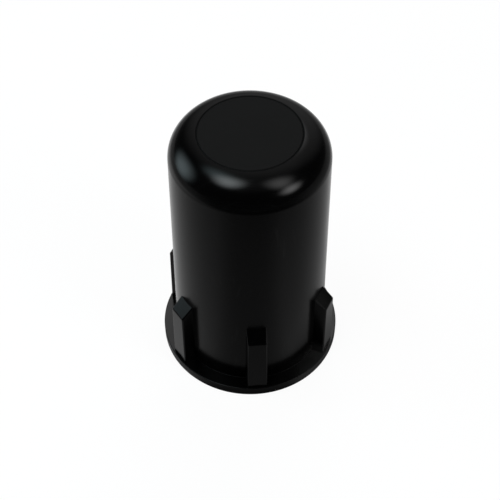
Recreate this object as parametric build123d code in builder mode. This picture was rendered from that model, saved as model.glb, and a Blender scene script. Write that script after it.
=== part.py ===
from build123d import *
import os
from math import cos, radians, sin, tan

# Screw-on protection cap for the end of an M36 stud, moulded in one piece of black plastic.
# Millimetres. +Z is up, the origin is the centre of the flange's underside, and the cap
# stands on its open end. One grip rib points to -Y.

# Outside of the cap
cap_height = 77.2  # from the flange's underside to the flat pad on the crown
wall_diameter = 42.5  # where the wall leaves the flange
wall_draft = 0.75  # degrees, so that the cap leaves the mould
pad_diameter = 26.0  # centre line of the groove round the flat pad
pad_groove_width = 0.5
pad_groove_depth = 0.25
crown_slope = 14.0  # degrees below level where the crown starts outside the pad
shoulder_height = 7.6  # from the pad down to the straight wall
shoulder_fullness = 0.83  # weight of the shoulder's conic: 0 is a bevel, 1 is a parabola

# Flange at the open end
flange_diameter = 50.0
flange_thickness = 2.9
flange_edge_radius = 0.4
flange_root_radius = 0.3

# Grip ribs
rib_count = 6
rib_height = 25.4  # where the sloped top meets the wall, above the flange's underside
rib_top_slope = 43.0  # degrees below level
rib_setback = 0.6  # from the flange's rim in to the rib's outer face
rib_tip_width = 5.7  # across the outer face, at the flange
rib_side_taper = 4.5  # degrees, each side, narrowing outwards
rib_draft = 0.75  # degrees, every side, narrowing upwards
rib_nose_radius = 0.8  # between the sloped top and the outer face
rib_edge_radius = 0.28

# Inside of the cap
stud_diameter = 36.0
thread_clearance = 0.15  # between the stud's crests and the thread's root
thread_length = 30.0
lead_in = 1.0  # 45 degree chamfer at the mouth
chamber_relief = 0.4  # past the thread the inside is this much wider, on the radius
chamber_draft = 0.5  # degrees
chamber_corner_radius = 6.5
crown_thickness = 2.6

wall_radius = wall_diameter / 2
flange_radius = flange_diameter / 2
pad_radius = pad_diameter / 2
bore_radius = stud_diameter / 2 + thread_clearance
thread_end = lead_in + thread_length


def wall_radius_at(z):
    return wall_radius - (z - flange_thickness) * tan(radians(wall_draft))


# One rib lies along +X. It starts in the middle of the wall, stands on the flange, and its
# top is cut off at a slope that starts where the rib's height meets the wall's face.
rib_start = (wall_radius + bore_radius) / 2
rib_outer = flange_radius - rib_setback
rib_start_width = rib_tip_width + 2 * (rib_outer - rib_start) * tan(radians(rib_side_taper))
slope_direction = (sin(radians(rib_top_slope)), 0, cos(radians(rib_top_slope)))
rib_slope = Plane(origin=(wall_radius_at(rib_height), 0, rib_height), z_dir=slope_direction)

with BuildPart() as rib:
    with BuildSketch(Plane.XY.offset(flange_thickness / 2)) as rib_plan:
        with BuildLine():
            Polyline(
                (rib_start, -rib_start_width / 2),
                (rib_outer, -rib_tip_width / 2),
                (rib_outer, rib_tip_width / 2),
                (rib_start, rib_start_width / 2),
                close=True,
            )
        make_face()
    extrude(amount=rib_height, taper=rib_draft)
    split(bisect_by=rib_slope, keep=Keep.BOTTOM)
    nose = rib.edges().filter_by(Axis.Y).sort_by(Axis.Z)[-2]
    fillet(nose, rib_nose_radius)
    hidden_faces = rib.faces().sort_by(Axis.Z)[:1] + rib.faces().sort_by(Axis.X)[:1]
    fillet(rib.edges() - hidden_faces.edges(), rib_edge_radius)

# Half section of the outside. The shoulder is a conic that leaves the pad at the crown's
# slope and runs into the wall: its middle control point is where those two lines cross.
wall_top = cap_height - shoulder_height
crown_start = pad_radius + pad_groove_width / 2
crown_fall = tan(radians(crown_slope))
wall_fall = tan(radians(wall_draft))
corner_reach = (wall_radius_at(cap_height) - crown_start) / (1 - crown_fall * wall_fall)
corner_drop = corner_reach * crown_fall

# Half section of the inside
chamber_radius = bore_radius + chamber_relief
chamber_start = thread_end + chamber_relief
chamber_top = cap_height - crown_thickness
chamber_top_radius = chamber_radius - (chamber_top - chamber_start) * tan(radians(chamber_draft))

with BuildPart() as cap:
    with BuildSketch(Plane.XZ) as outside:
        with BuildLine():
            Polyline(
                (crown_start, cap_height),
                (pad_radius, cap_height - pad_groove_depth),
                (pad_radius - pad_groove_width / 2, cap_height),
                (0, cap_height),
                (0, 0),
                (flange_radius, 0),
                (flange_radius, flange_thickness),
                (wall_radius, flange_thickness),
                (wall_radius_at(wall_top), wall_top),
            )
            Bezier(
                (wall_radius_at(wall_top), wall_top),
                (crown_start + corner_reach, cap_height - corner_drop),
                (crown_start, cap_height),
                weights=[1, shoulder_fullness, 1],
            )
        make_face()
        fillet(outside.vertices().group_by(Axis.X)[-1], flange_edge_radius)
        root = outside.vertices().sort_by_distance((wall_radius, flange_thickness))[0]
        fillet(root, flange_root_radius)
    revolve(axis=Axis.Z)

    with PolarLocations(0, rib_count, start_angle=-90):
        add(rib.part)

    with BuildSketch(Plane.XZ) as inside:
        with BuildLine():
            Polyline(
                (0, 0),
                (bore_radius + lead_in, 0),
                (bore_radius, lead_in),
                (bore_radius, thread_end),
                (chamber_radius, chamber_start),
                (chamber_top_radius, chamber_top),
                (0, chamber_top),
                close=True,
            )
        make_face()
        corner = inside.vertices().sort_by_distance((chamber_top_radius, chamber_top))[0]
        fillet(corner, chamber_corner_radius)
    revolve(axis=Axis.Z, mode=Mode.SUBTRACT)

cap.part.label = "cap"
os.makedirs("parts", exist_ok=True)
export_step(cap.part, "parts/cap.step")
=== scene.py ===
from math import cos, pi, radians, sin, tan

import bmesh
import bpy
from mathutils import Matrix, Vector


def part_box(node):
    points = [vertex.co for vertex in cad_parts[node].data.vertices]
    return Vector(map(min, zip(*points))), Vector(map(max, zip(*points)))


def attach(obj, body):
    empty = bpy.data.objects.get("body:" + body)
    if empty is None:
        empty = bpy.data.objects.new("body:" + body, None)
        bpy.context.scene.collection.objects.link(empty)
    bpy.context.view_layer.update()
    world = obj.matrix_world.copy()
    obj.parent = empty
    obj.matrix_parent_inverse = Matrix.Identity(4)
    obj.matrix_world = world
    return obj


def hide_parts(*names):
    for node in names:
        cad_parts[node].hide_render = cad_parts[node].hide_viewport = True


# threaded protection cap; lengths in the dictionaries are in mm and angles in degrees
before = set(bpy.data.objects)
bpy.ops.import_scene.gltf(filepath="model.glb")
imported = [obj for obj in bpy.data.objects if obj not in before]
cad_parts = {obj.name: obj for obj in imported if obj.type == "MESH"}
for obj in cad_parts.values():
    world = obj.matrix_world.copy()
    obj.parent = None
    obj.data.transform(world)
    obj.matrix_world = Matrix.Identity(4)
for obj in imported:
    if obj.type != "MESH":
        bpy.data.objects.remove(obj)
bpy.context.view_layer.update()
capLow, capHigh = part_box("cap")
mm = 0.001
scene = bpy.context.scene
print("frame loaded, the cap is", round((capHigh.z - capLow.z) / mm, 2), "mm tall")


# helpers for every node tree

def addNode(tree, kind, place, label="", **settings):
    node = tree.nodes.new(kind)
    node.location = (place[0] * 200, place[1] * -160)
    node.label = label
    for key, value in settings.items():
        setattr(node, key, value)
    return node


def join(tree, source, target):
    tree.links.new(source, target)


def feed(tree, socket, value):
    if hasattr(value, "is_output"):
        join(tree, value, socket)
    else:
        socket.default_value = value


def doMath(tree, operation, place, *values, label="", clamp=False):
    node = addNode(tree, "ShaderNodeMath", place, label, operation=operation, use_clamp=clamp)
    for socket, value in zip(node.inputs, values):
        feed(tree, socket, value)
    return node.outputs[0]


def fade(tree, place, value, start, end, label="", low=0.0, high=1.0):
    node = addNode(tree, "ShaderNodeMapRange", place, label, interpolation_type="SMOOTHSTEP")
    names = ("Value", "From Min", "From Max", "To Min", "To Max")
    for name, given in zip(names, (value, start, end, low, high)):
        feed(tree, node.inputs[name], given)
    return node.outputs[0]


def inMm(pair):
    return [value * mm for value in pair]


def measure(tree, place, operation, value, other=None):
    node = addNode(tree, "ShaderNodeVectorMath", place, operation=operation)
    join(tree, value, node.inputs[0])
    if other is not None:
        feed(tree, node.inputs[1], other)
    return node.outputs["Value"]


def blendNumber(tree, place, share, first, second, label=""):
    node = addNode(tree, "ShaderNodeMix", place, label, data_type="FLOAT")
    for socket, value in zip((node.inputs[0], node.inputs[2], node.inputs[3]), (share, first, second)):
        feed(tree, socket, value)
    return node.outputs[0]


def blendColour(tree, place, share, first, second, label=""):
    node = addNode(tree, "ShaderNodeMix", place, label, data_type="RGBA")
    for socket, value in zip((node.inputs[0], node.inputs[6], node.inputs[7]), (share, first, second)):
        feed(tree, socket, value)
    return node.outputs[2]


def addInput(tree, name, kind, value=None):
    socket = tree.interface.new_socket(name, in_out="INPUT", socket_type="NodeSocket" + kind)
    if value is not None:
        socket.default_value = value


def addOutput(tree, name, kind):
    tree.interface.new_socket(name, in_out="OUTPUT", socket_type="NodeSocket" + kind)


def setInputs(modifier, values):
    for item in modifier.node_group.interface.items_tree:
        if item.item_type == "SOCKET" and item.in_out == "INPUT" and item.name in values:
            modifier[item.identifier] = values[item.name]


# effects that both finishes share

def makeGrainGroup():
    group = bpy.data.node_groups.new("mouldGrain", "ShaderNodeTree")
    addInput(group, "Position", "Vector")
    addInput(group, "Grain Size", "Float", 0.35)  # in mm
    addInput(group, "Cloud Size", "Float", 9.0)  # in mm
    addOutput(group, "Height", "Float")
    addOutput(group, "Cloud", "Float")
    given = addNode(group, "NodeGroupInput", (-4, 0))
    result = addNode(group, "NodeGroupOutput", (1, 0))
    noises = (("Grain Size", "Height", 3.0), ("Cloud Size", "Cloud", 2.0))
    for row, (size, name, detail) in enumerate(noises):
        perMetre = doMath(group, "DIVIDE", (-3, row * 2), 1 / mm, given.outputs[size])
        noise = addNode(group, "ShaderNodeTexNoise", (-1, row * 2), name)
        noise.inputs["Detail"].default_value = detail
        join(group, given.outputs["Position"], noise.inputs["Vector"])
        join(group, perMetre, noise.inputs["Scale"])
        join(group, noise.outputs[0], result.inputs[name])
    return group


scuffSets = {
    "lines": ((25, 26.0), (-38, 34.0), (80, 30.0)),  # lean and how many times thinner than long
    "sideLean": 0.7,  # share of the lean about the y axis
    "threshold": (0.68, 0.78),
}


def makeScuffGroup():
    group = bpy.data.node_groups.new("handlingScuffs", "ShaderNodeTree")
    addInput(group, "Position", "Vector")
    addInput(group, "Length", "Float", 9.0)  # in mm
    addInput(group, "Amount", "Float", 0.3)
    addOutput(group, "Mask", "Float")
    given = addNode(group, "NodeGroupInput", (-7, 0))
    result = addNode(group, "NodeGroupOutput", (3, 0))
    perMetre = doMath(group, "DIVIDE", (-6, 1), 1 / mm, given.outputs["Length"])
    lines = []
    for row, (lean, thinness) in enumerate(scuffSets["lines"]):
        turned = addNode(group, "ShaderNodeMapping", (-5, row * 2))
        sideLean = radians(lean * scuffSets["sideLean"])
        turned.inputs["Rotation"].default_value = (radians(lean), sideLean, radians(lean))
        turned.inputs["Scale"].default_value = (1.0, thinness, 1.0)
        noise = addNode(group, "ShaderNodeTexNoise", (-4, row * 2), "lines one way")
        noise.inputs["Detail"].default_value = 1.0
        join(group, given.outputs["Position"], turned.inputs["Vector"])
        join(group, turned.outputs[0], noise.inputs["Vector"])
        join(group, perMetre, noise.inputs["Scale"])
        lines.append(fade(group, (-3, row * 2), noise.outputs[0], *scuffSets["threshold"], "thin lines"))
    firstTwo = doMath(group, "MAXIMUM", (-2, 1), lines[0], lines[1])
    allLines = doMath(group, "MAXIMUM", (-1, 1), firstTwo, lines[2])
    mask = doMath(group, "MULTIPLY", (1, 1), allLines, given.outputs["Amount"], clamp=True)
    join(group, mask, result.inputs["Mask"])
    return group


def addGrainBump(tree, shader, grain, look):
    bump = addNode(tree, "ShaderNodeBump", (-2, 14))
    bump.inputs["Strength"].default_value = look["grainStrength"]
    bump.inputs["Distance"].default_value = look["grainDepth"] * mm
    join(tree, grain.outputs["Height"], bump.inputs["Height"])
    join(tree, bump.outputs[0], shader.inputs["Normal"])


grainGroup = makeGrainGroup()
scuffGroup = makeScuffGroup()

# the outside: nearly matt wall, glossier skin on what faces up, matt pad, and a lighter colour painted
# at the right front of the foot and on the ribs' slopes as a painted sheen
# a pair is where a fade starts and ends, in mm or as the share of the normal that points up

outsideLook = {
    "colour": (0.0004, 0.0004, 0.00045, 1.0),
    "padColour": (0.004, 0.004, 0.004, 1.0),
    "padFade": (0.1, 0.0),  # outside the ring
    "padDepth": (-0.6, -0.3),  # from the crown's level
    "specular": 0.03,
    "wallRoughness": 0.2,
    "skinRoughness": 0.17,
    "padRoughness": 0.6,
    "edgeRoughness": 0.45,  # the flange's upright edge
    "wallGloss": 0.015,
    "skinGloss": 0.2,
    "facesUp": (0.10, 0.26),
    "upright": (0.5, 0.1),
    "sloping": (0.97, 0.9),
    "ribZone": (30.0, 26.0),  # height that holds the ribs
    "flangeZone": (3.4, 3.0),
    "dullShare": 0.7,  # how much of the skin's gloss the ribs' slopes lack
    "coatRoughness": 0.15,
    "ior": 1.5,  # for the plastic and its skin
    "grainSize": 0.35,
    "grainDepth": 0.012,
    "grainStrength": 0.1,
    "cloudShare": 0.05,
    "scuffs": 0.25,
    "scuffColour": (0.006, 0.006, 0.006, 1.0),
    # the next keys paint a lighter, patchy colour at the right front of the foot and on the ribs'
    # slopes: a painted sheen where reflected light falls
    "dustAndSheenColour": (0.012, 0.012, 0.0117, 1.0),
    "sheenRight": (8.0, 18.0),  # along x
    "sheenFront": (-5.0, -12.0),  # along y
    "sheenTop": (8.0, 3.0),
    "dustAndSheenPatches": (0.3, 0.6),
    "patchLow": 0.6,
    "ledgeSheen": 0.6,  # painted sheen on the ribs' slopes, as a share of that at the foot
}


def addFacing(tree, row):
    normal = addNode(tree, "ShaderNodeNewGeometry", (-11, row)).outputs["Normal"]
    facing = addNode(tree, "ShaderNodeSeparateXYZ", (-10, row), "how far it faces up")
    join(tree, normal, facing.inputs[0])
    return facing.outputs[2]


def addPadMask(tree, axes, look):
    squareX = doMath(tree, "MULTIPLY", (-10, 0), axes[0], axes[0])
    squares = doMath(tree, "MULTIPLY_ADD", (-9, 0), axes[1], axes[1], squareX)
    radius = doMath(tree, "SQRT", (-8, 0), squares)
    padEdge = (section["padDiameter"] + section["grooveWidth"]) / 2
    start, end = inMm(padEdge + step for step in look["padFade"])
    inPad = fade(tree, (-7, 0), radius, start, end, "the ring and inside")
    start, end = (capHigh.z + step * mm for step in look["padDepth"])
    atTop = fade(tree, (-7, 2), axes[2], start, end, "at the top")
    return doMath(tree, "MULTIPLY", (-6, 0), inPad, atTop, label="pad")


# paints a lighter, patchy sheen at the right front of the foot and on the ribs' slopes, standing in for
# reflected light
def addDust(tree, axes, cloud, slopes, look):
    onRight = fade(tree, (-8, 22), axes[0], *inMm(look["sheenRight"]), "right of the front rib")
    inFront = fade(tree, (-8, 24), axes[1], *inMm(look["sheenFront"]), "front half")
    nearFoot = fade(tree, (-8, 26), axes[2], *inMm(look["sheenTop"]), "near the foot")
    ledge = doMath(tree, "MULTIPLY", (-8, 28), slopes, look["ledgeSheen"], label="on the slopes")
    beside = doMath(tree, "MULTIPLY", (-7, 22), onRight, inFront)
    footOrSlopes = doMath(tree, "MAXIMUM", (-7, 26), nearFoot, ledge)
    patchy = fade(tree, (-7, 20), cloud, *look["dustAndSheenPatches"], "patchy", low=look["patchLow"])
    sheenPlace = doMath(tree, "MULTIPLY", (-6, 24), beside, footOrSlopes)
    return doMath(tree, "MULTIPLY", (-5, 22), sheenPlace, patchy, label="dust")


def makeOutside():
    look = outsideLook
    material = bpy.data.materials.new("blackMouldedPlastic")
    material.use_nodes = True
    tree = material.node_tree
    shader = tree.nodes["Principled BSDF"]
    shader.inputs["Specular IOR Level"].default_value = look["specular"]
    shader.inputs["IOR"].default_value = look["ior"]
    shader.inputs["Coat Roughness"].default_value = look["coatRoughness"]
    shader.inputs["Coat IOR"].default_value = look["ior"]
    where = addNode(tree, "ShaderNodeTexCoord", (-13, 0)).outputs["Object"]
    split = addNode(tree, "ShaderNodeSeparateXYZ", (-12, 0), "place on the cap")
    join(tree, where, split.inputs[0])
    axes = split.outputs
    pad = addPadMask(tree, axes, look)

    facing = addFacing(tree, 4)
    facingUp = fade(tree, (-8, 4), facing, *look["facesUp"], "faces up")
    low = fade(tree, (-8, 6), axes[2], *inMm(look["ribZone"]), "rib height and below")
    sloping = fade(tree, (-8, 8), facing, *look["sloping"], "not level")
    dull = doMath(tree, "MULTIPLY", (-7, 6), low, sloping)
    slopes = doMath(tree, "MULTIPLY", (-6, 6), dull, facingUp, label="ribs' slopes")
    glossy = doMath(tree, "MULTIPLY_ADD", (-6, 4), slopes, -look["dullShare"], facingUp)
    skin = doMath(tree, "SUBTRACT", (-5, 4), glossy, pad, label="glossy skin", clamp=True)
    wallOrSkin = blendNumber(tree, (-4, 4), skin, look["wallGloss"], look["skinGloss"])
    bare = doMath(tree, "SUBTRACT", (-5, 2), 1.0, pad, label="not the pad")
    join(tree, doMath(tree, "MULTIPLY", (-3, 4), wallOrSkin, bare), shader.inputs["Coat Weight"])

    grain = addNode(tree, "ShaderNodeGroup", (-8, 14), "grain", node_tree=grainGroup)
    grain.inputs["Grain Size"].default_value = look["grainSize"]
    join(tree, where, grain.inputs["Position"])
    scuffs = addNode(tree, "ShaderNodeGroup", (-8, 17), "scuffs", node_tree=scuffGroup)
    scuffs.inputs["Amount"].default_value = look["scuffs"]
    join(tree, where, scuffs.inputs["Position"])

    plain = blendColour(tree, (-4, 0), pad, look["colour"], look["padColour"], "pad is greyer")
    # painted sheen: a lighter colour at the right front of the foot and on the ribs' slopes
    dust = addDust(tree, axes, grain.outputs["Cloud"], slopes, look)
    dustyAndSheened = blendColour(tree, (-3, 0), dust, plain, look["dustAndSheenColour"], "dust round the foot")
    worn = blendColour(tree, (-2, 0), scuffs.outputs["Mask"], dustyAndSheened, look["scuffColour"], "scuffed")
    join(tree, worn, shader.inputs["Base Color"])

    foot = fade(tree, (-8, 10), axes[2], *inMm(look["flangeZone"]), "flange")
    steep = fade(tree, (-8, 12), facing, *look["upright"], "upright")
    edge = doMath(tree, "MULTIPLY", (-7, 10), foot, steep, label="flange's edge")
    rough = blendNumber(tree, (-5, 10), skin, look["wallRoughness"], look["skinRoughness"])
    rough = blendNumber(tree, (-4, 10), edge, rough, look["edgeRoughness"], "matt edge")
    rough = blendNumber(tree, (-3, 10), pad, rough, look["padRoughness"], "pad is matt")
    cloud = doMath(tree, "SUBTRACT", (-4, 12), grain.outputs["Cloud"], 0.5)
    rough = doMath(tree, "MULTIPLY_ADD", (-2, 10), cloud, look["cloudShare"], rough)
    join(tree, rough, shader.inputs["Roughness"])
    addGrainBump(tree, shader, grain, look)
    return material


# the inside and the underside: rougher, with scuffs and a little dust

insideLook = {
    "colour": (0.012, 0.012, 0.0125, 1.0),
    "dustAndSheenColour": (0.03, 0.029, 0.027, 1.0),
    "dustAndSheenPatches": (0.45, 0.75),
    "dustAmount": 0.5,
    "specular": 0.3,
    "roughness": 0.42,
    "cloudShare": 0.18,
    "grainSize": 0.6,
    "grainDepth": 0.03,
    "grainStrength": 0.2,
    "scuffs": 0.3,
}


def makeInside():
    look = insideLook
    material = bpy.data.materials.new("blackPlasticInside")
    material.use_nodes = True
    tree = material.node_tree
    shader = tree.nodes["Principled BSDF"]
    shader.inputs["Specular IOR Level"].default_value = look["specular"]
    where = addNode(tree, "ShaderNodeTexCoord", (-8, 0)).outputs["Object"]
    grain = addNode(tree, "ShaderNodeGroup", (-7, 0), "grain", node_tree=grainGroup)
    grain.inputs["Grain Size"].default_value = look["grainSize"]
    join(tree, where, grain.inputs["Position"])
    scuffs = addNode(tree, "ShaderNodeGroup", (-7, 3), "scuffs", node_tree=scuffGroup)
    scuffs.inputs["Amount"].default_value = look["scuffs"]
    join(tree, where, scuffs.inputs["Position"])
    patches = fade(tree, (-5, 0), grain.outputs["Cloud"], *look["dustAndSheenPatches"], "a little dust",
                   high=look["dustAmount"])
    marks = doMath(tree, "MAXIMUM", (-4, 0), patches, scuffs.outputs["Mask"])
    worn = blendColour(tree, (-2, 0), marks, look["colour"], look["dustAndSheenColour"], "dustyAndSheened")
    join(tree, worn, shader.inputs["Base Color"])
    cloud = doMath(tree, "SUBTRACT", (-5, 6), grain.outputs["Cloud"], 0.5)
    rough = doMath(tree, "MULTIPLY_ADD", (-4, 6), cloud, look["cloudShare"], look["roughness"])
    join(tree, rough, shader.inputs["Roughness"])
    addGrainBump(tree, shader, grain, look)
    return material


# the half section that the cap is turned from

section = {
    "wallDiameter": 42.5,
    "wallDraft": 0.75,
    "padDiameter": 26.0,
    "grooveWidth": 0.5,
    "grooveDepth": 0.25,
    "crownSlope": 14.0,
    "shoulderHeight": 7.6,
    "shoulderFullness": 0.83,  # 0 is a bevel, 1 is a parabola
    "shoulderSteps": 48,
    "flangeThickness": 2.9,
    "flangeEdge": 0.2,
    "flangeRoot": 0.06,  # fillet between wall and flange
    "edgeSteps": 6,
    "boreRadius": 18.15,
    "leadIn": 1.0,
    "threadEnd": 31.0,
    "chamberRelief": 0.4,
    "chamberDraft": 0.5,
    "chamberCorner": 6.5,
    "chamberSteps": 14,
    "crownThickness": 2.6,
}
capHeight = capHigh.z / mm
flangeRadius = round(capHigh.x / mm, 2)


def roundCorner(before, corner, after, radius, steps):
    before, corner, after = Vector(before), Vector(corner), Vector(after)
    toStart = (before - corner).normalized()
    toEnd = (after - corner).normalized()
    halfAngle = toStart.angle(toEnd) / 2
    centre = corner + (toStart + toEnd).normalized() * radius / sin(halfAngle)
    first = corner + toStart * radius / tan(halfAngle) - centre
    last = corner + toEnd * radius / tan(halfAngle) - centre
    return [centre + first.slerp(last, i / steps).normalized() * radius for i in range(steps + 1)]


def conic(start, corner, end, fullness, steps):
    start, corner, end = Vector(start), Vector(corner), Vector(end)
    points = []
    for i in range(steps + 1):
        t = i / steps
        a, b, c = (1 - t) ** 2, 2 * t * (1 - t) * fullness, t ** 2
        points.append((start * a + corner * b + end * c) / (a + b + c))
    return points


def wallRadiusAt(z):
    above = z - section["flangeThickness"]
    return section["wallDiameter"] / 2 - above * tan(radians(section["wallDraft"]))


def halfSectionPoints():
    s = section
    padRadius = s["padDiameter"] / 2
    crownStart = padRadius + s["grooveWidth"] / 2
    wallTop = capHeight - s["shoulderHeight"]
    crownFall = tan(radians(s["crownSlope"]))
    wallFall = tan(radians(s["wallDraft"]))
    cornerReach = (wallRadiusAt(capHeight) - crownStart) / (1 - crownFall * wallFall)
    shoulder = conic(
        (crownStart, capHeight),
        (crownStart + cornerReach, capHeight - cornerReach * crownFall),
        (wallRadiusAt(wallTop), wallTop), s["shoulderFullness"], s["shoulderSteps"])
    wallFoot = (s["wallDiameter"] / 2, s["flangeThickness"])
    rim = (flangeRadius, s["flangeThickness"])
    rimFoot = (flangeRadius, 0)
    chamberRadius = s["boreRadius"] + s["chamberRelief"]
    chamberStart = s["threadEnd"] + s["chamberRelief"]
    chamberTop = capHeight - s["crownThickness"]
    topRadius = chamberRadius - (chamberTop - chamberStart) * tan(radians(s["chamberDraft"]))
    points = [(0, capHeight), (padRadius - s["grooveWidth"] / 2, capHeight)]
    points += [(padRadius, capHeight - s["grooveDepth"])]
    points += shoulder
    points += roundCorner(shoulder[-1], wallFoot, rim, s["flangeRoot"], s["edgeSteps"])
    points += roundCorner(wallFoot, rim, rimFoot, s["flangeEdge"], s["edgeSteps"])
    points += roundCorner(rim, rimFoot, (0, 0), s["flangeEdge"], s["edgeSteps"])
    points += [(s["boreRadius"] + s["leadIn"], 0), (s["boreRadius"], s["leadIn"])]
    points += [(s["boreRadius"], s["threadEnd"]), (chamberRadius, chamberStart)]
    points += roundCorner((chamberRadius, chamberStart), (topRadius, chamberTop), (0, chamberTop),
                          s["chamberCorner"], s["chamberSteps"])
    points += [(0, chamberTop)]
    return [Vector(p) for p in points]


def drawHalfSection(pathRadius):
    curve = bpy.data.curves.new("halfSection", "CURVE")
    curve.dimensions = "2D"
    points = halfSectionPoints()
    spline = curve.splines.new("POLY")
    spline.points.add(len(points) - 1)
    for point, place in zip(spline.points, points):
        point.co = ((place.x - pathRadius) * mm, -place.y * mm, 0, 1)  # the sweep lays y downwards
    helper = bpy.data.objects.new("halfSection", curve)
    scene.collection.objects.link(helper)
    return helper


# one grip rib

ribSizes = {
    "count": 6,
    "firstAngle": -90.0,
    "height": 25.4,
    "topSlope": 43.0,
    "setback": 0.6,
    "tipWidth": 5.7,
    "sideTaper": 4.5,
    "draft": 0.75,
    "edge": 0.4,
    "noseEdge": 0.8,  # radius between the slope and the outer face
    "edgeSteps": 4,
    "sharpAngle": 25.0,
}


def roundEdges(bm, edges, width):
    bmesh.ops.bevel(bm, geom=edges, offset=width * mm, offset_type="OFFSET", profile=0.5,
                    segments=ribSizes["edgeSteps"], affect="EDGES", clamp_overlap=True)


def makeRib():
    r = ribSizes
    start = (section["wallDiameter"] / 2 + section["boreRadius"]) / 2
    outer = flangeRadius - r["setback"]
    foot = section["flangeThickness"] / 2
    draft, taper = tan(radians(r["draft"])), tan(radians(r["sideTaper"]))
    slope = tan(radians(r["topSlope"]))
    wallThere = wallRadiusAt(r["height"])

    def halfWidth(x, z):
        return r["tipWidth"] / 2 + (outer - x) * taper - (z - foot) * draft

    topIn = r["height"] - (start - wallThere) * slope
    topOut = (r["height"] - (outer + foot * draft - wallThere) * slope) / (1 - draft * slope)
    xOut = outer - (topOut - foot) * draft
    corners = []
    for x, z in ((start, foot), (outer, foot), (xOut, topOut), (start, topIn)):
        for side in (-1, 1):
            corners.append((x, side * halfWidth(x, z), z))
    bm = bmesh.new()
    v = [bm.verts.new(Vector(c) * mm) for c in corners]
    for loop in ((0, 2, 3, 1), (2, 4, 5, 3), (4, 6, 7, 5), (6, 0, 1, 7), (0, 6, 4, 2), (1, 3, 5, 7)):
        bm.faces.new([v[i] for i in loop])
    bmesh.ops.recalc_face_normals(bm, faces=bm.faces)
    nose = [e for e in bm.edges if set(e.verts) == {v[4], v[5]}]
    roundEdges(bm, nose, r["noseEdge"] * tan(radians(45 - r["topSlope"] / 2)))
    hiddenBelow = (foot + 0.01) * mm
    hiddenWithin = (start + 0.001) * mm
    shown = [e for e in bm.edges
             if e.calc_face_angle(0) > radians(r["sharpAngle"])
             and not all(p.co.z < hiddenBelow for p in e.verts)
             and not all(p.co.x < hiddenWithin for p in e.verts)]
    roundEdges(bm, shown, r["edge"])
    mesh = bpy.data.meshes.new("gripRib")
    bm.to_mesh(mesh)
    bm.free()
    helper = bpy.data.objects.new("gripRib", mesh)
    scene.collection.objects.link(helper)
    return helper


outsideFinish = makeOutside()
insideFinish = makeInside()
print("finishes ready")


# the cap: turned shell, ribs round it and the thread's ridge inside

capBuild = {
    "pathRadius": 10.0,
    "segments": 240,
    "threadPitch": 4.0,
    "ridgeDepth": 2.3,
    "ridgeBase": 3.5,
    "ridgeCrest": 1.0,
    "threadStart": 2.6,
    "threadTurns": 6.6,
    "turnSteps": 96,  # points in one turn of the thread
    "ridgeShift": -0.46,  # share of the ridge's depth, so that its root is just inside the wall
    "crestRounding": 0.25,
    "crestSteps": 3,
    "runOut": 0.03,  # share of the thread that each end tapers over
    "runOutSize": 0.02,
    "weldDistance": 0.002,
    "sharpAngle": 28.0,
}


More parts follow.
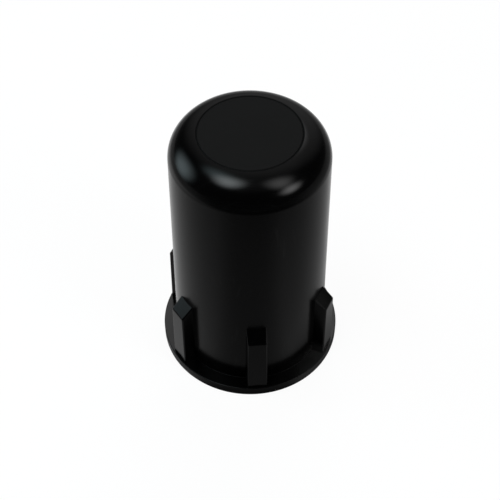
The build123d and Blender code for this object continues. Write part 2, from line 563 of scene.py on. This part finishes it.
def makeCapTree():
    b = capBuild
    tree = bpy.data.node_groups.new("mouldedCap", "GeometryNodeTree")
    addInput(tree, "Half Section", "Object")
    addInput(tree, "Path Radius", "Float", 10 * mm)
    addInput(tree, "Segments", "Int", 240)
    addInput(tree, "Grip Rib", "Object")
    addInput(tree, "Rib Count", "Int", 6)
    addInput(tree, "First Rib Angle", "Float", radians(-90))
    addInput(tree, "Thread Radius", "Float", 18 * mm)
    addInput(tree, "Thread Pitch", "Float", 4 * mm)
    addInput(tree, "Thread Turns", "Float", 6.6)
    addInput(tree, "Thread Start", "Float", 2.6 * mm)
    addInput(tree, "Ridge Depth", "Float", 2.3 * mm)
    addInput(tree, "Ridge Base", "Float", 3.5 * mm)
    addInput(tree, "Ridge Crest", "Float", 1 * mm)
    addInput(tree, "Inside Radius", "Float", 19.5 * mm)
    addInput(tree, "Inside Top", "Float", 75 * mm)
    addInput(tree, "Sharp Angle", "Float", radians(28))
    addInput(tree, "Outside Finish", "Material")
    addInput(tree, "Inside Finish", "Material")
    addOutput(tree, "Cap", "Geometry")
    given = addNode(tree, "NodeGroupInput", (-8, 0)).outputs
    result = addNode(tree, "NodeGroupOutput", (12, 0))

    # turned shell
    profile = addNode(tree, "GeometryNodeObjectInfo", (-5, -3), "half section")
    path = addNode(tree, "GeometryNodeCurvePrimitiveCircle", (-5, -1), "path round the axis")
    upright = addNode(tree, "GeometryNodeSetCurveNormal", (-4, -1), mode="Z_UP")
    turned = addNode(tree, "GeometryNodeCurveToMesh", (-3, -2), "turned round")
    welded = addNode(tree, "GeometryNodeMergeByDistance", (-2, -2), "close the poles")
    welded.inputs["Distance"].default_value = b["weldDistance"] * mm
    join(tree, given["Half Section"], profile.inputs["Object"])
    join(tree, given["Segments"], path.inputs["Resolution"])
    join(tree, given["Path Radius"], path.inputs["Radius"])
    join(tree, path.outputs["Curve"], upright.inputs["Curve"])
    join(tree, upright.outputs["Curve"], turned.inputs["Curve"])
    join(tree, profile.outputs["Geometry"], turned.inputs["Profile Curve"])
    join(tree, turned.outputs["Mesh"], welded.inputs["Geometry"])

    # ribs
    ribShape = addNode(tree, "GeometryNodeObjectInfo", (-5, 2), "grip rib")
    ring = addNode(tree, "GeometryNodeMeshLine", (-5, 4), "one point for each rib")
    ring.inputs["Offset"].default_value = (0, 0, 0)
    number = addNode(tree, "GeometryNodeInputIndex", (-7, 3))
    step = doMath(tree, "DIVIDE", (-6, 3), 2 * pi, given["Rib Count"], label="angle step")
    angle = doMath(tree, "MULTIPLY_ADD", (-5, 3), number.outputs[0], step, given["First Rib Angle"])
    turn = addNode(tree, "ShaderNodeCombineXYZ", (-4, 3))
    ribs = addNode(tree, "GeometryNodeInstanceOnPoints", (-3, 2), "ribs round the wall")
    ribsReal = addNode(tree, "GeometryNodeRealizeInstances", (-2, 2))
    join(tree, given["Grip Rib"], ribShape.inputs["Object"])
    join(tree, given["Rib Count"], ring.inputs["Count"])
    join(tree, angle, turn.inputs["Z"])
    join(tree, ring.outputs["Mesh"], ribs.inputs["Points"])
    join(tree, ribShape.outputs["Geometry"], ribs.inputs["Instance"])
    join(tree, turn.outputs[0], ribs.inputs["Rotation"])
    join(tree, ribs.outputs[0], ribsReal.inputs[0])

    # thread ridge: a rounded trapezoid along a right-handed helix, thinned out at both ends
    helix = addNode(tree, "GeometryNodeCurveSpiral", (-5, 6), "thread line")
    helix.inputs["Resolution"].default_value = b["turnSteps"]
    helix.inputs["Reverse"].default_value = True
    rise = doMath(tree, "MULTIPLY", (-6, 6), given["Thread Turns"], given["Thread Pitch"])
    for source, name in ((given["Thread Turns"], "Rotations"), (given["Thread Radius"], "Start Radius"),
                         (given["Thread Radius"], "End Radius"), (rise, "Height")):
        join(tree, source, helix.inputs[name])
    helixUp = addNode(tree, "GeometryNodeSetCurveNormal", (-4, 6), mode="Z_UP")
    ridge = addNode(tree, "GeometryNodeCurvePrimitiveQuadrilateral", (-5, 8), "ridge section",
                    mode="TRAPEZOID")
    ridge.inputs["Offset"].default_value = 0
    join(tree, given["Ridge Base"], ridge.inputs["Bottom Width"])
    join(tree, given["Ridge Crest"], ridge.inputs["Top Width"])
    join(tree, given["Ridge Depth"], ridge.inputs["Height"])
    softened = addNode(tree, "GeometryNodeFilletCurve", (-4, 8), "round the crest", mode="POLY")
    softened.inputs["Count"].default_value = b["crestSteps"]
    softened.inputs["Radius"].default_value = b["crestRounding"] * mm
    lay = addNode(tree, "GeometryNodeTransform", (-3, 8), "lay the section on the wall")
    lay.inputs["Rotation"].default_value = (0, 0, radians(90))
    toCrest = doMath(tree, "MULTIPLY", (-5, 11), given["Ridge Depth"], b["ridgeShift"],
                     label="towards the axis")
    shift = addNode(tree, "ShaderNodeCombineXYZ", (-4, 10))
    join(tree, toCrest, shift.inputs["X"])
    join(tree, shift.outputs[0], lay.inputs["Translation"])
    run = addNode(tree, "GeometryNodeSplineParameter", (-6, 13)).outputs["Factor"]
    runIn = fade(tree, (-4, 12), run, 0.0, b["runOut"], "run in", low=b["runOutSize"])
    runOut = fade(tree, (-4, 14), run, 1.0, 1.0 - b["runOut"], "run out", low=b["runOutSize"])
    swept = addNode(tree, "GeometryNodeCurveToMesh", (-2, 6), "thread ridge")
    swept.inputs["Fill Caps"].default_value = True
    lift = addNode(tree, "GeometryNodeTransform", (-1, 6), "up to its start")
    upBy = addNode(tree, "ShaderNodeCombineXYZ", (-2, 8))
    join(tree, given["Thread Start"], upBy.inputs["Z"])
    join(tree, upBy.outputs[0], lift.inputs["Translation"])
    join(tree, helix.outputs[0], helixUp.inputs["Curve"])
    join(tree, helixUp.outputs[0], swept.inputs["Curve"])
    join(tree, ridge.outputs[0], softened.inputs["Curve"])
    join(tree, softened.outputs[0], lay.inputs["Geometry"])
    join(tree, lay.outputs[0], swept.inputs["Profile Curve"])
    join(tree, doMath(tree, "MULTIPLY", (-3, 12), runIn, runOut), swept.inputs["Scale"])
    join(tree, swept.outputs[0], lift.inputs["Geometry"])

    fused = addNode(tree, "GeometryNodeMeshBoolean", (1, 0), "one moulding", operation="UNION",
                    solver="MANIFOLD")
    for part in (lift, ribsReal, welded):
        join(tree, part.outputs[0], fused.inputs["Mesh 2"])

    # smooth faces with crisp corners
    smooth = addNode(tree, "GeometryNodeSetShadeSmooth", (2, 0), domain="FACE")
    corner = addNode(tree, "GeometryNodeInputMeshEdgeAngle", (2, 2))
    isSharp = addNode(tree, "FunctionNodeCompare", (3, 2), data_type="FLOAT", operation="GREATER_THAN")
    sharpEdges = addNode(tree, "GeometryNodeSetShadeSmooth", (4, 0), domain="EDGE")
    sharpEdges.inputs["Shade Smooth"].default_value = False
    join(tree, fused.outputs[0], smooth.inputs[0])
    join(tree, smooth.outputs[0], sharpEdges.inputs[0])
    join(tree, corner.outputs[0], isSharp.inputs[0])
    join(tree, given["Sharp Angle"], isSharp.inputs[1])
    join(tree, isSharp.outputs[0], sharpEdges.inputs["Selection"])

    # the bore, the thread, the chamber and the underside have the inside finish
    place = addNode(tree, "GeometryNodeInputPosition", (4, 3))
    placeAxes = addNode(tree, "ShaderNodeSeparateXYZ", (5, 3))
    across = addNode(tree, "ShaderNodeCombineXYZ", (6, 3))
    join(tree, place.outputs[0], placeAxes.inputs[0])
    join(tree, placeAxes.outputs[0], across.inputs[0])
    join(tree, placeAxes.outputs[1], across.inputs[1])
    facing = addNode(tree, "GeometryNodeInputNormal", (6, 5))
    fromAxis = measure(tree, (7, 3), "LENGTH", across.outputs[0])
    outward = measure(tree, (7, 5), "DOT_PRODUCT", across.outputs[0], facing.outputs[0])
    near = doMath(tree, "LESS_THAN", (8, 3), fromAxis, given["Inside Radius"])
    below = doMath(tree, "LESS_THAN", (8, 4), placeAxes.outputs[2], given["Inside Top"])
    inward = doMath(tree, "LESS_THAN", (8, 5), outward, 0.02 * mm, label="not facing outwards")
    within = doMath(tree, "MULTIPLY", (9, 4), doMath(tree, "MULTIPLY", (9, 3), near, below), inward)
    under = doMath(tree, "LESS_THAN", (8, 6), placeAxes.outputs[2], 0.01 * mm, label="underside")
    inside = doMath(tree, "MAXIMUM", (10, 4), within, under)

    real = addNode(tree, "GeometryNodeRealizeInstances", (6, 0))
    paintOut = addNode(tree, "GeometryNodeSetMaterial", (8, 0), "outside")
    paintIn = addNode(tree, "GeometryNodeSetMaterial", (10, 0), "inside")
    join(tree, sharpEdges.outputs[0], real.inputs[0])
    join(tree, real.outputs[0], paintOut.inputs[0])
    join(tree, given["Outside Finish"], paintOut.inputs["Material"])
    join(tree, paintOut.outputs[0], paintIn.inputs[0])
    join(tree, inside, paintIn.inputs["Selection"])
    join(tree, given["Inside Finish"], paintIn.inputs["Material"])
    join(tree, paintIn.outputs[0], result.inputs[0])
    return tree


def makeCap():
    b = capBuild
    sectionCurve = drawHalfSection(b["pathRadius"])
    rib = makeRib()
    worker = bpy.data.objects.new("worker", bpy.data.meshes.new("worker"))
    scene.collection.objects.link(worker)
    modifier = worker.modifiers.new("mouldedCap", "NODES")
    modifier.node_group = makeCapTree()
    setInputs(modifier, {
        "Half Section": sectionCurve,
        "Path Radius": b["pathRadius"] * mm,
        "Segments": b["segments"],
        "Grip Rib": rib,
        "Rib Count": ribSizes["count"],
        "First Rib Angle": radians(ribSizes["firstAngle"]),
        "Thread Radius": section["boreRadius"] * mm,
        "Thread Pitch": b["threadPitch"] * mm,
        "Thread Turns": b["threadTurns"],
        "Thread Start": b["threadStart"] * mm,
        "Ridge Depth": b["ridgeDepth"] * mm,
        "Ridge Base": b["ridgeBase"] * mm,
        "Ridge Crest": b["ridgeCrest"] * mm,
        "Inside Radius": (section["boreRadius"] + section["leadIn"] + 0.1) * mm,
        "Inside Top": (capHeight - section["crownThickness"] / 2) * mm,
        "Sharp Angle": radians(b["sharpAngle"]),
        "Outside Finish": outsideFinish,
        "Inside Finish": insideFinish,
    })
    flat = worker.modifiers.new("flatFacesStayFlat", "WEIGHTED_NORMAL")
    flat.keep_sharp = True
    depsgraph = bpy.context.evaluated_depsgraph_get()
    mesh = bpy.data.meshes.new_from_object(worker.evaluated_get(depsgraph), depsgraph=depsgraph)
    piece = bpy.data.objects.new("threadedCap", mesh)
    scene.collection.objects.link(piece)
    for helper in (worker, sectionCurve, rib):
        bpy.data.objects.remove(helper)
    return piece


cap = makeCap()
triangles = sum(len(face.vertices) - 2 for face in cap.data.polygons)
print("cap:", len(cap.data.vertices), "vertices,", triangles, "triangles")
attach(cap, "root")
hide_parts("cap")


# floor, light and camera; turn is counted to the right from the camera's side, seen from above,
# and rise upwards; a span is where a fade starts and ends

studio = {
    "cameraTurn": -4.757,
    "cameraDistance": 194.2,
    "cameraHeight": 262.98,
    "cameraPitch": 49.798,
    "cameraRoll": -0.083,
    "lens": 79.64,
    "sensorWidth": 36.0,
    "floorSize": 3000.0,
    "floorGap": 0.05,
    "floorGrey": 0.8,
    "backdropShare": 0.93,
    "poolTurn": -153.0,
    "poolShift": 60.0,
    "poolSpan": (130.0, 180.0),
    "farSpan": (0.8, 0.1),  # 1 is in front of the cap, 0 is beside it
    "farFront": 0.03,
    "farSides": 0.4,
    "frontSpan": (0.72, 0.99),  # 1 is in front
    "frontDip": 0.42,
    "rightSpan": (0.5, 0.95),  # 1 is straight to the right
    "rightDip": 0.25,
    "shadeTurn": 92.0,
    "shadeShift": 12.0,
    "shadeSpan": (14.0, 26.0),
    "shadeLevel": 0.3,
    "rimSpan": (27.2, 25.4),  # from the axis
    "rimLevel": 0.3,
    "room": ((0.0, 0.08), (0.3, 0.04), (0.7, 0.04), (0.95, 0.25)),  # height and level
    "behindAim": (170, 42),  # turn and rise
    "behindSpan": (0.6, 0.95),
    "behindLevel": 0.6,
    "lamps": (
        # turn, rise, distance, width and height in m, radiance, core share, colour
        (-54, 66, 0.75, 0.54, 0.56, 12.0, 0.05, (0.9, 0.98, 1.0)),
        (-94, 65, 0.75, 0.42, 0.5, 2.8, 0.1, (0.72, 0.95, 1.0)),
        (57, 27, 0.75, 0.5, 0.45, 9.0, 0.05, (1.0, 1.0, 1.0)),
        (58, 55, 0.75, 0.46, 0.66, 4.3, 0.1, (1.0, 1.0, 1.0)),
        (-101, 15, 0.75, 0.68, 0.8, 5.6, 0.1, (0.78, 0.95, 1.0)),
        (174, 44, 0.9, 0.95, 0.7, 3.8, 0.3, (1.0, 1.0, 1.0)),
    ),
}


def aim(turn, rise):
    a = radians(turn + studio["cameraTurn"])
    e = radians(rise)
    return Vector((sin(a) * cos(e), -cos(a) * cos(e), sin(e)))


def addFloorGlow(tree, where):
    # how bright the floor is in mirror rays: a pool of light, dimmer close to the cap and in front
    poolCentre = aim(studio["poolTurn"], 0) * studio["poolShift"] * mm
    toPool = measure(tree, (-5, 2), "DISTANCE", where, poolCentre)
    side = addNode(tree, "ShaderNodeVectorMath", (-6, 5), operation="NORMALIZE")
    join(tree, where, side.inputs[0])
    toFront = measure(tree, (-5, 5), "DOT_PRODUCT", side.outputs[0], aim(0, 0))
    toRight = measure(tree, (-5, 8), "DOT_PRODUCT", side.outputs[0], aim(90, 0))
    far = fade(tree, (-4, 0), toFront, *studio["farSpan"], "far floor", low=studio["farFront"],
               high=studio["farSides"])
    pool = fade(tree, (-3, 2), toPool, *inMm(studio["poolSpan"]), "pool of light", low=1.0, high=far)
    inFront = fade(tree, (-4, 5), toFront, *studio["frontSpan"], "in front")
    front = doMath(tree, "MULTIPLY_ADD", (-3, 5), inFront, -studio["frontDip"], 1.0)
    right = fade(tree, (-4, 8), toRight, *studio["rightSpan"], "dimmer on the right", low=1.0,
                 high=1.0 - studio["rightDip"])
    shadeCentre = aim(studio["shadeTurn"], 0) * studio["shadeShift"] * mm
    fromShade = measure(tree, (-5, 11), "DISTANCE", where, shadeCentre)
    shade = fade(tree, (-4, 11), fromShade, *inMm(studio["shadeSpan"]), "dimmer near the cap",
                 low=studio["shadeLevel"])
    fromAxis = measure(tree, (-5, 14), "LENGTH", where)
    nearRim = fade(tree, (-4, 14), fromAxis, *inMm(studio["rimSpan"]), "under the rim")
    underRim = doMath(tree, "MULTIPLY", (-3, 14), nearRim, inFront)
    rim = doMath(tree, "MULTIPLY_ADD", (-2, 14), underRim, studio["rimLevel"] - 1.0, 1.0)
    close = doMath(tree, "MINIMUM", (-2, 11), shade, rim)
    sides = doMath(tree, "MULTIPLY", (-2, 6), front, right)
    return doMath(tree, "MULTIPLY", (-1, 4), pool, doMath(tree, "MULTIPLY", (-1, 7), sides, close))


def makeFloor():
    mesh = bpy.data.meshes.new("studioFloor")
    half = studio["floorSize"] / 2 * mm
    z = capLow.z - studio["floorGap"] * mm
    corners = [(-half, -half, z), (half, -half, z), (half, half, z), (-half, half, z)]
    mesh.from_pydata(corners, [], [(0, 1, 2, 3)])
    floor = bpy.data.objects.new("studioFloor", mesh)
    scene.collection.objects.link(floor)
    material = bpy.data.materials.new("paleFloor")
    material.use_nodes = True
    material.cycles.emission_sampling = "NONE"
    tree = material.node_tree
    tree.nodes.clear()
    plain = addNode(tree, "ShaderNodeBsdfDiffuse", (0, 0))
    plain.inputs["Color"].default_value = [studio["floorGrey"]] * 3 + [1]
    glow = addNode(tree, "ShaderNodeEmission", (0, 1))
    mix = addNode(tree, "ShaderNodeMixShader", (1, 0))
    out = addNode(tree, "ShaderNodeOutputMaterial", (2, 0))
    rays = addNode(tree, "ShaderNodeLightPath", (-6, -3)).outputs
    mirrored = doMath(tree, "ADD", (-5, -3), rays["Is Glossy Ray"], rays["Is Transmission Ray"])
    seen = doMath(tree, "ADD", (-4, -3), mirrored, rays["Is Camera Ray"], clamp=True)
    where = addNode(tree, "ShaderNodeTexCoord", (-7, 5)).outputs["Object"]
    level = doMath(tree, "MAXIMUM", (-1, 1), addFloorGlow(tree, where), rays["Is Camera Ray"])
    join(tree, level, glow.inputs["Strength"])
    join(tree, doMath(tree, "MULTIPLY", (-3, -3), seen, studio["backdropShare"]), mix.inputs[0])
    join(tree, plain.outputs[0], mix.inputs[1])
    join(tree, glow.outputs[0], mix.inputs[2])
    join(tree, mix.outputs[0], out.inputs["Surface"])
    mesh.materials.append(material)


def makeWorld():
    world = bpy.data.worlds.new("studio")
    scene.world = world
    world.use_nodes = True
    tree = world.node_tree
    background = tree.nodes["Background"]
    looking = addNode(tree, "ShaderNodeTexCoord", (-5, 0))
    parts = addNode(tree, "ShaderNodeSeparateXYZ", (-4, 0))
    ramp = addNode(tree, "ShaderNodeValToRGB", (-3, 0), "room by height")
    join(tree, looking.outputs["Generated"], parts.inputs[0])
    join(tree, parts.outputs[2], ramp.inputs[0])
    stops = studio["room"]
    while len(ramp.color_ramp.elements) < len(stops):
        ramp.color_ramp.elements.new(0.5)
    for element, (height, level) in zip(ramp.color_ramp.elements, stops):
        element.position = height
        element.color = (level, level, level, 1)
    behind = aim(*studio["behindAim"])
    toBack = measure(tree, (-4, 3), "DOT_PRODUCT", looking.outputs["Generated"], behind)
    wall = fade(tree, (-3, 3), toBack, *studio["behindSpan"], "pale wall behind",
                high=studio["behindLevel"])
    room = addNode(tree, "ShaderNodeVectorMath", (-2, 0), operation="ADD")
    join(tree, ramp.outputs[0], room.inputs[0])
    join(tree, wall, room.inputs[1])
    toCamera = addNode(tree, "ShaderNodeLightPath", (-3, -3)).outputs["Is Camera Ray"]
    shown = blendColour(tree, (-1, 0), toCamera, room.outputs[0], (1, 1, 1, 1), "white behind")
    join(tree, shown, background.inputs["Color"])


def softenLamp(lamp, core):
    lamp.use_nodes = True
    tree = lamp.node_tree
    face = addNode(tree, "ShaderNodeNewGeometry", (-6, 0)).outputs["Parametric"]
    middle = addNode(tree, "ShaderNodeVectorMath", (-5, 0), "from the middle", operation="SUBTRACT")
    middle.inputs[1].default_value = (0.5, 0.5, 0)
    flat = addNode(tree, "ShaderNodeVectorMath", (-4, 0), operation="MULTIPLY")
    flat.inputs[1].default_value = (2, 2, 0)
    join(tree, face, middle.inputs[0])
    join(tree, middle.outputs[0], flat.inputs[0])
    reach = measure(tree, (-3, 0), "LENGTH", flat.outputs[0])
    strength = fade(tree, (-2, 0), reach, core, 1.0, "soft edge", low=1.0, high=0.0)
    join(tree, strength, tree.nodes["Emission"].inputs["Strength"])


def makeLamps():
    target = Vector((0, 0, capHigh.z))
    for number, lampRow in enumerate(studio["lamps"], 1):
        turn, rise, distance, width, height, radiance, core, colour = lampRow
        lamp = bpy.data.lights.new("softbox" + str(number), "AREA")
        lamp.shape = "RECTANGLE"
        lamp.size = width
        lamp.size_y = height
        lamp.energy = radiance * pi * width * height
        lamp.color = colour
        softenLamp(lamp, core)
        holder = bpy.data.objects.new(lamp.name, lamp)
        holder.location = target + aim(turn, rise) * distance
        holder.rotation_euler = aim(turn, rise).to_track_quat("Z", "Y").to_euler()
        holder.visible_camera = False
        scene.collection.objects.link(holder)


def makeCamera():
    camera = bpy.data.cameras.new("camera")
    camera.lens = studio["lens"]
    camera.sensor_width = studio["sensorWidth"]
    holder = bpy.data.objects.new("camera", camera)
    heading = Matrix.Rotation(radians(studio["cameraTurn"]), 4, "Z")
    tilt = Matrix.Rotation(radians(90 - studio["cameraPitch"]), 4, "X")
    roll = Matrix.Rotation(radians(studio["cameraRoll"]), 4, "Z")
    place = heading @ Vector((0, -studio["cameraDistance"] * mm, studio["cameraHeight"] * mm))
    holder.matrix_world = Matrix.Translation(place) @ heading @ tilt @ roll
    scene.collection.objects.link(holder)
    scene.camera = holder


makeFloor()
makeWorld()
makeLamps()
makeCamera()
scene.view_settings.view_transform = "Standard"
print("studio ready")
